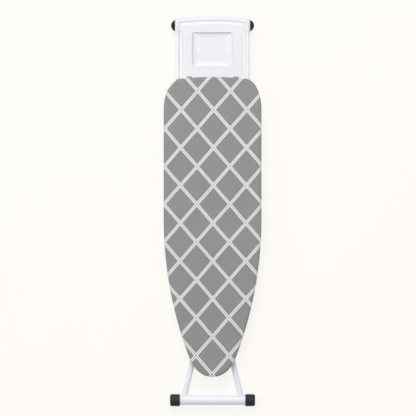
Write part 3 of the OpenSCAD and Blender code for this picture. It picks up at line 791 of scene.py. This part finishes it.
def make_leg(node, body, start, toward, lead, bend_y, gauge_half, foot_half, foot_y):
    """A bent leg tube with the weld bead that joins it to its foot bar."""
    spread, reach = foot_half - gauge_half, abs(foot_y - bend_y)
    splay = math.degrees(math.atan(spread / reach))
    line = leg_line(lead, abs(bend_y - start.y), splay, math.hypot(spread, reach))
    side = 1 if node.endswith("right") else -1
    path = [Vector((side * (gauge_half + p.x), start.y + toward * p.y, start.z + p.z)) for p in line]
    # The tube stops just inside the foot bar's surface
    path[-1] = path[-1].lerp(path[-2], (FOOT_BAR_R - WELD_DEPTH) / (path[-1] - path[-2]).length)
    tube = sweep(node + "_tube", path, LEG_R, materials["white_enamel"], sides=36)
    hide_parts(node)
    slant = math.radians(splay)
    bead_path = []
    for k in range(BEAD_POINTS):
        a = 2 * math.pi * k / BEAD_POINTS
        up = LEG_R * math.sin(a)
        back = math.sqrt(FOOT_BAR_R**2 - up**2)
        x = side * (foot_half - back * math.tan(slant) + LEG_R * math.cos(a) / math.cos(slant))
        y = foot_y - toward * back
        bead_path.append(Vector((x, y, LEG_Z + up)))
    sizes = [(1.5 + 0.25 * math.sin(k * 1.9)) * MM for k in range(BEAD_POINTS)]
    bead = sweep(node + "_weld", bead_path, sizes, materials["white_enamel"], sides=8, closed=True,
                 up=Vector((0.02, 1, 0.01)))
    for piece in (tube, bead):
        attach(piece, body)


rest_low, rest_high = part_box("iron_rest_frame")
REST_R = 8 * MM
REST_HALF = rest_high.x - REST_R
REST_Z = (rest_low.z + rest_high.z) / 2
REST_BEND = 12 * MM  # the tight bend from a side into the arch
ARCH_R = 1083 * MM  # of the arched end, along the tube's axis
LIP_R = 10 * MM  # outside of the sheet rolled over the tube
ARCH_CY = rest_high.y - REST_R - ARCH_R
ARCH_A = math.degrees(math.asin((REST_HALF - REST_BEND) / (ARCH_R - REST_BEND)))
BEND_Y = ARCH_CY + (ARCH_R - REST_BEND) * math.cos(math.radians(ARCH_A))


def make_rest_frame():
    """The iron rest's bent tube: two sides, two tight bends and the arched end."""
    right = [(REST_HALF, rest_low.y)]
    right += arc(REST_HALF - REST_BEND, BEND_Y, REST_BEND, 0, 90 - ARCH_A, 10)
    right += arc(0, ARCH_CY, ARCH_R, 90 - ARCH_A, 90, 14)[1:]
    flat = right + [(-x, y) for x, y in reversed(right[:-1])]
    path = [(x, y, REST_Z) for x, y in flat]
    tube = sweep("iron_rest_tube", path, REST_R, materials["white_enamel"], sides=32)
    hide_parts("iron_rest_frame")
    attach(tube, "board")


def make_return_spring():
    """Close-wound torsion spring round the lever's rod."""
    low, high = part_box("return_spring")
    rod_x, _, rod_z = box_middle("release_rod")
    wire, mean, turns, per_turn = 0.75 * MM, 5.6 * MM, 6, 20
    length = high.y - low.y - 2 * wire
    steps = turns * per_turn
    path = []
    for k in range(steps + 1):
        a = 2 * math.pi * k / per_turn
        along = wire + length * k / steps
        path.append(Vector((rod_x, low.y, rod_z)) + Vector((mean * math.cos(a), along, mean * math.sin(a))))
    start = path[0]
    path = [Vector((start.x, start.y, high.z - 1 * MM)), start + Vector((0, 0, 1.5 * MM))] + path[1:]
    path.append(path[-1] + Vector((0.5 * MM, 0, 4 * MM)))
    spring = sweep("lever_spring", path, wire, materials["zinc"], sides=10, up=Vector((0.01, 1, 0.02)))
    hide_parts("return_spring")
    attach(spring, "board")


# ---------------------------------------------------------------- iron rest tray

tray_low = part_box("iron_rest_tray")[0]
SHEET_T = 1.2 * MM
TRAY_TOP = REST_Z + REST_R + SHEET_T
RECESS_X, RECESS_Y = 79.6 * MM, 66.8 * MM  # half the recess's width and length
RECESS_MID = 629.2 * MM
RECESS_DEPTH = 10.2 * MM
RECESS_CORNER = 12 * MM
FLOOR_CORNER = 5 * MM
DISH, DISH_RISE = 20 * MM, 3.4 * MM  # how the recess floor curves up to its wall
BEAD = 0.6 * MM  # raised border round the recess
BEAD_R = 2.2 * MM  # rounding of the recess's edge
BEAD_REACH = 5 * MM  # how far out the border runs down to the plate
LIP_STEP = 1.8 * MM  # how far the plate is let down along the rolled lip
LIP_LAP = 5 * MM  # from the tube's axis in to the plate's edge under the lip
LIP_END = 697 * MM  # how far down the sides of the tube the lip's corners come
LIP_CORNER = 12 * MM  # from a mitred corner to the next point of the lip's path
LIP_EASE, LIP_EASE_END = 7 * MM, 18 * MM  # length of that step, and where it starts from the tube's axis
TRAY_HALF = 116 * MM
GAP_END = 694.5 * MM  # where the rounded end of a side gap starts
GAP_R = 6 * MM
GAP_FAR_X, GAP_FAR_Y = 160 * MM, 450 * MM  # outside the plate
FOLD_X, FOLD_END = 113.6 * MM, 690 * MM  # where the plate's sides bend down, and where that ends
FOLD_LOW = -8 * MM  # how far down the folded sides reach
SLOT_MID = 628 * MM
SLOT_X, SLOT_Y = 60 * MM, 51 * MM  # from the middle of the four slots to each
SLOT_LENGTH, SLOT_WIDTH = 33 * MM, 10 * MM
HOLE_X, HOLE_Y, HOLE_R = 56 * MM, 626 * MM, 6.5 * MM
RAYS = 240  # points round each ring of the pressed plate


def box_edge(half_x, half_y, corner, angle):
    """Where a ray from the middle of a rounded rectangle leaves it."""
    dx, dy = abs(math.cos(angle)), abs(math.sin(angle))
    reach = min(half_x / max(dx, 1e-9), half_y / max(dy, 1e-9))
    cx, cy = half_x - corner, half_y - corner
    x, y = dx * reach, dy * reach
    if x > cx and y > cy:
        b = dx * cx + dy * cy
        reach = b + math.sqrt(max(0.0, b * b - cx * cx - cy * cy + corner * corner))
        x, y = dx * reach, dy * reach
    return Vector((math.copysign(x, math.cos(angle)), math.copysign(y, math.sin(angle))))


def tray_limit(angle):
    """Where a ray from the middle of the recess leaves the plate, before its side gaps are cut."""
    d = Vector((math.cos(angle), math.sin(angle)))
    reach = (REST_HALF - LIP_LAP) / max(abs(d.x), 1e-9)
    if d.y < 0:
        reach = min(reach, (tray_low.y - RECESS_MID) / d.y)
    else:
        # The arch: a circle of radius ARCH_R, a little inside the tube's axis
        r, cy = ARCH_R - LIP_LAP, ARCH_CY - RECESS_MID
        b = d.y * cy
        reach = min(reach, b + math.sqrt(b * b - cy * cy + r * r))
    return d * reach


def plate_height(point):
    """Top of the plate at a point measured from the middle of the recess."""
    from_arch = ARCH_R - (point - Vector((0, ARCH_CY - RECESS_MID))).length
    from_tube = min(from_arch, REST_HALF - abs(point.x))
    return TRAY_TOP - LIP_STEP * smooth_share((LIP_EASE_END - from_tube) / LIP_EASE)


def tray_rings():
    """Pressed section from the recess floor to the plate: (how far past the recess wall, height)."""
    steps = []
    for i in range(11):
        share = i / 10
        steps.append((-DISH - 4.4 * MM + DISH * share, TRAY_TOP - RECESS_DEPTH + DISH_RISE * share**2))
    wall_low = steps[-1][1]
    steps.append((-3.6 * MM, wall_low + 0.8 * MM))
    steps.append((-0.7 * MM, TRAY_TOP - 1.4 * MM))
    for i in range(6):
        a = math.radians(20 + 70 * i / 5)
        steps.append((BEAD_R * (1 - math.cos(a)) - 0.1 * MM, TRAY_TOP + BEAD - BEAD_R * (1 - math.sin(a))))
    for i in range(1, 6):
        share = i / 5
        steps.append((BEAD_R + BEAD_REACH * share, TRAY_TOP + BEAD * math.cos(math.pi * share / 2) ** 2))
    return steps


def slot_outline(cx, cy, length, width, degrees):
    """A round-ended slot, turned about its own middle."""
    straight = (length - width) / 2
    outline = arc(straight, 0, width / 2, -90, 90, 10) + arc(-straight, 0, width / 2, 90, 270, 10)
    c, s = math.cos(math.radians(degrees)), math.sin(math.radians(degrees))
    return [(cx + x * c - y * s, cy + x * s + y * c) for x, y in outline]


def tray_cutters():
    """What is cut out of the plate: four slots, two holes and the two side gaps."""
    low, high = TRAY_TOP - 20 * MM, TRAY_TOP + 10 * MM
    cutters = []
    for sx in (-1, 1):
        for sy in (-1, 1):
            cx, cy = SLOT_X * sx, SLOT_MID + SLOT_Y * sy
            outline = slot_outline(cx, cy, SLOT_LENGTH, SLOT_WIDTH, 45 * sx * sy)
            cutters.append(prism("slot_cutter", outline, low, high))
        hole = arc(HOLE_X * sx, HOLE_Y, HOLE_R, 0, 350, 35)
        cutters.append(prism("hole_cutter", hole, low, high))
        gap_x = TRAY_HALF + GAP_R
        gap = [(TRAY_HALF, FOLD_END), (FOLD_X, FOLD_END), (FOLD_X, GAP_FAR_Y), (GAP_FAR_X, GAP_FAR_Y)]
        gap += [(GAP_FAR_X, GAP_END + GAP_R), (gap_x, GAP_END + GAP_R)]
        gap += arc(gap_x, GAP_END, GAP_R, 90, 180, 8)[1:]
        if sx < 0:
            gap = [(-x, y) for x, y in reversed(gap)]
        cutters.append(prism("gap_cutter", gap, low, high))
    return cutters


def make_tray():
    """The pressed plate: a deep recess with rounded walls, slots and holes, and the two side gaps."""
    angles = [2 * math.pi * (k + 0.5) / RAYS for k in range(RAYS)]
    section = tray_rings()
    inner, last = section[0][0], section[-1][0]
    floor = TRAY_TOP - RECESS_DEPTH
    rings = []
    for share in (0.02, 0.3, 0.6, 0.85):
        edge = [box_edge(RECESS_X + inner, RECESS_Y + inner, FLOOR_CORNER, a) * share for a in angles]
        rings.append([(p.x, p.y, floor) for p in edge])
    for past, z in section:
        corner = max(FLOOR_CORNER, RECESS_CORNER + past * 0.6)
        edge = [box_edge(RECESS_X + past, RECESS_Y + past, corner, a) for a in angles]
        rings.append([(p.x, p.y, z) for p in edge])
    for share in (0.25, 0.5, 0.62, 0.68, 0.74, 0.8, 0.87, 0.94, 1.0):
        ring = []
        for a in angles:
            near = box_edge(RECESS_X + last, RECESS_Y + last, RECESS_CORNER + last * 0.6, a)
            p = near.lerp(tray_limit(a), share)
            ring.append((p.x, p.y, plate_height(p)))
        rings.append(ring)
    points = [(x, y + RECESS_MID, z) for ring in rings for x, y, z in ring]
    faces = ring_faces(len(rings), RAYS) + [tuple(range(RAYS))]
    tray = add_mesh("pressed_tray", points, faces, materials["tray_enamel"])
    shell = tray.modifiers.new("thickness", "SOLIDIFY")
    shell.thickness = SHEET_T
    shell.offset = -1
    apply_modifiers(tray)
    cut_with(tray, tray_cutters())
    bevel = tray.modifiers.new("pressed_edge", "BEVEL")
    bevel.width = 0.35 * MM
    bevel.segments = 2
    bevel.limit_method = "ANGLE"
    bevel.angle_limit = math.radians(60)
    weld = tray.modifiers.new("close_slivers", "WELD")
    weld.merge_threshold = 0.02 * MM
    apply_modifiers(tray)
    shade_by_angle(tray, 40)
    return tray


def make_tray_lip():
    """The rolled lip: a sheet bent round the tube over the arched end and past its two corners."""
    section = arc(0, 0, LIP_R, -50, 140, 16) + arc(0, 0, REST_R + 0.1 * MM, 140, -50, 16)
    corner_a = math.degrees(math.asin(REST_HALF / ARCH_R))
    arch = arc(0, ARCH_CY, ARCH_R, 90 - corner_a, 90 + corner_a, 30)
    side_top = arch[0][1] - LIP_CORNER
    flat = [(REST_HALF, LIP_END), (REST_HALF, side_top), *arch, (-REST_HALF, side_top), (-REST_HALF, LIP_END)]
    path = [(x, y, REST_Z) for x, y in flat]
    lip = sweep("rolled_lip", path, 1.0, materials["tray_enamel"], section=section, mitred=True)
    shade_by_angle(lip, 40)
    return lip


def make_tray_folds():
    """Turned-down side edges of the plate, with their rounded bends."""
    folds = []
    bend = TRAY_HALF - FOLD_X
    outer = arc(0, -bend, bend, 90, 0, 6)
    inner = [(x - SHEET_T * x / bend, z - SHEET_T * (z + bend) / bend) for x, z in outer]
    right = outer + [(bend, FOLD_LOW), (bend - SHEET_T, FOLD_LOW)] + inner[::-1]
    for side, name in ((-1, "tray_fold_left"), (1, "tray_fold_right")):
        section = right[::-1] if side > 0 else [(-x, z) for x, z in right]
        path = [(side * FOLD_X, tray_low.y + 1 * MM, TRAY_TOP), (side * FOLD_X, FOLD_END, TRAY_TOP)]
        fold = sweep(name, path, 1.0, materials["tray_enamel"], section=section)
        shade_by_angle(fold, 40)
        folds.append(fold)
    return folds


# ---------------------------------------------------------------- lever grip

GRIP_STRAIGHT = 0.86  # share of the grip before its soft ends
GRIP_SQUARE = 0.62  # 1 would be an oval section, 0 a rectangle
RIDGES, RIDGE_DEPTH = 11, 0.35 * MM


def make_grip():
    """Moulded grip: a rounded bar with finger ridges and soft ends."""
    low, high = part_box("lever_grip")
    middle, half = (low + high) / 2, (high - low) / 2
    stations, per_ring = 61, 40
    points = []
    for k in range(stations):
        t = -1 + 2 * k / (stations - 1)
        end = max(0.0, (abs(t) - GRIP_STRAIGHT) / (1 - GRIP_STRAIGHT))
        size = math.sqrt(max(0.0, 1 - end**2.4)) * 0.96 + 0.04
        ridge = RIDGE_DEPTH * (0.5 - 0.5 * math.cos(t * math.pi * RIDGES)) * (1 - end)
        for i in range(per_ring):
            a = 2 * math.pi * i / per_ring
            c, s = math.cos(a), math.sin(a)
            x = math.copysign(abs(c) ** GRIP_SQUARE, c) * (half.x * size - ridge)
            z = math.copysign(abs(s) ** GRIP_SQUARE, s) * (half.z * size - ridge * 0.7)
            points.append((middle.x + x, middle.y + t * half.y, middle.z + z))
    faces = ring_faces(stations, per_ring)
    faces += [tuple(range(per_ring)), tuple(reversed(range((stations - 1) * per_ring, stations * per_ring)))]
    grip = add_mesh("moulded_grip", points, faces, materials["black_plastic"])
    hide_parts("lever_grip")
    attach(grip, "release_lever")


# ---------------------------------------------------------------- stage, camera and lights

BACKDROP_R = 42.0  # half the floor's width too
DOME_SINK = 2.0  # how far the dome's rim lies below the floor
VIEW_SIDE = 1.615  # width and height of what the view takes in, at the ironing surface
VIEW_X, VIEW_Y = -0.0178, 0.014
LENS, SENSOR = 600.0, 36.0
SKY_COLOUR, SKY_STRENGTH = (0.985, 0.99, 1.0, 1), 0.41
# name, place, side of the square, power, colour; each is aimed at the origin
LIGHTS = (
    ("key", (-0.5, 3.9, 5.0), 2.6, 226, (1.0, 0.995, 0.985)),
    ("side", (-4.6, 0.6, 3.6), 2.0, 42, (1.0, 1.0, 1.0)),
    ("overhead", (0, -0.6, 5.0), 4.0, 61, (1.0, 1.0, 1.0)),
)


def make_floor():
    """A plain floor that stays under the front foot, wherever the legs swing."""
    size = BACKDROP_R
    floor = add_mesh("floor", [(-size, -size, 0), (size, -size, 0), (size, size, 0), (-size, size, 0)],
                     [(0, 1, 2, 3)], materials["floor"], smooth=False)
    foot = bpy.data.objects.new("front_foot_axis", None)
    bpy.context.scene.collection.objects.link(foot)
    foot.parent = BODIES["front_leg"]
    foot.location = (0, FRONT_FOOT_Y, LEG_Z)
    floor.location.z = -LEG_Z
    follow = floor.constraints.new("COPY_LOCATION")
    follow.target = foot
    follow.use_x = follow.use_y = False
    follow.use_offset = True


def make_backdrop():
    """A plain pale dome beyond the floor, seen behind the object from low viewpoints."""
    per_ring, rings = 48, 13
    points = []
    for ring in range(rings):
        a = math.radians(88 * ring / (rings - 1))
        for k in range(per_ring):
            b = 2 * math.pi * k / per_ring
            flat = BACKDROP_R * math.cos(a)
            points.append((flat * math.cos(b), flat * math.sin(b), BACKDROP_R * math.sin(a) - DOME_SINK))
    dome = add_mesh("backdrop", points, ring_faces(rings, per_ring), materials["backdrop"])
    dome.visible_diffuse = dome.visible_glossy = dome.visible_shadow = False


def make_camera():
    """A long lens straight above the ironing surface."""
    camera = bpy.data.objects.new("camera", bpy.data.cameras.new("camera"))
    bpy.context.scene.collection.objects.link(camera)
    camera.data.lens = LENS
    camera.data.sensor_width = SENSOR
    distance = VIEW_SIDE / 2 / (SENSOR / 2 / LENS)
    camera.location = (VIEW_X, VIEW_Y, TOP_Z + distance)
    camera.data.clip_end = 100
    bpy.context.scene.camera = camera


def add_light(name, place, side, power, colour):
    data = bpy.data.lights.new(name, "AREA")
    data.shape = "RECTANGLE"
    data.size = data.size_y = side
    data.energy = power
    data.color = colour
    light = bpy.data.objects.new(name, data)
    light.location = place
    light.rotation_euler = (-Vector(place)).to_track_quat("-Z", "Y").to_euler()
    light.visible_camera = False
    bpy.context.scene.collection.objects.link(light)


def make_lights():
    """Soft daylight from the iron rest's end, a little more from the left, and a pale surround."""
    world = bpy.data.worlds.new("studio")
    world.use_nodes = True
    background = world.node_tree.nodes["Background"]
    background.inputs[0].default_value = SKY_COLOUR
    background.inputs[1].default_value = SKY_STRENGTH
    bpy.context.scene.world = world
    for light in LIGHTS:
        add_light(*light)
    bpy.context.scene.view_settings.view_transform = "Standard"


# ---------------------------------------------------------------- the board, put together

RIM_STEP, FELT_STEP = 2.75 * MM, 9 * MM  # between the points round the cover's and the felt's edge


def build_board():
    """Everything that the board's own body carries, but for the CAD nodes that are shown as they are."""
    rim = outline_rim(RIM_STEP)
    cover = make_cover(rim)
    hem = make_hem(rim)
    eyelets = [make_eyelet(side) for side in (-1, 1)]
    felt = make_felt(outline_rim(FELT_STEP))
    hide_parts("cover")
    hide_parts("cover_hem")
    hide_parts("felt_pad")
    for piece in (cover, hem, felt, *eyelets):
        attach(piece, "board")

    tray = make_tray()
    lip = make_tray_lip()
    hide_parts("iron_rest_tray")
    for piece in (tray, lip, *make_tray_folds()):
        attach(piece, "board")
    make_rest_frame()
    make_return_spring()


def build_legs():
    for side in ("left", "right"):
        make_leg("front_leg_" + side, **FRONT_LEG)
        make_leg("rear_leg_" + side, **REAR_LEG)


make_camera()
dress_cad_nodes()
build_board()
build_legs()
make_grip()
make_floor()
make_backdrop()
make_lights()
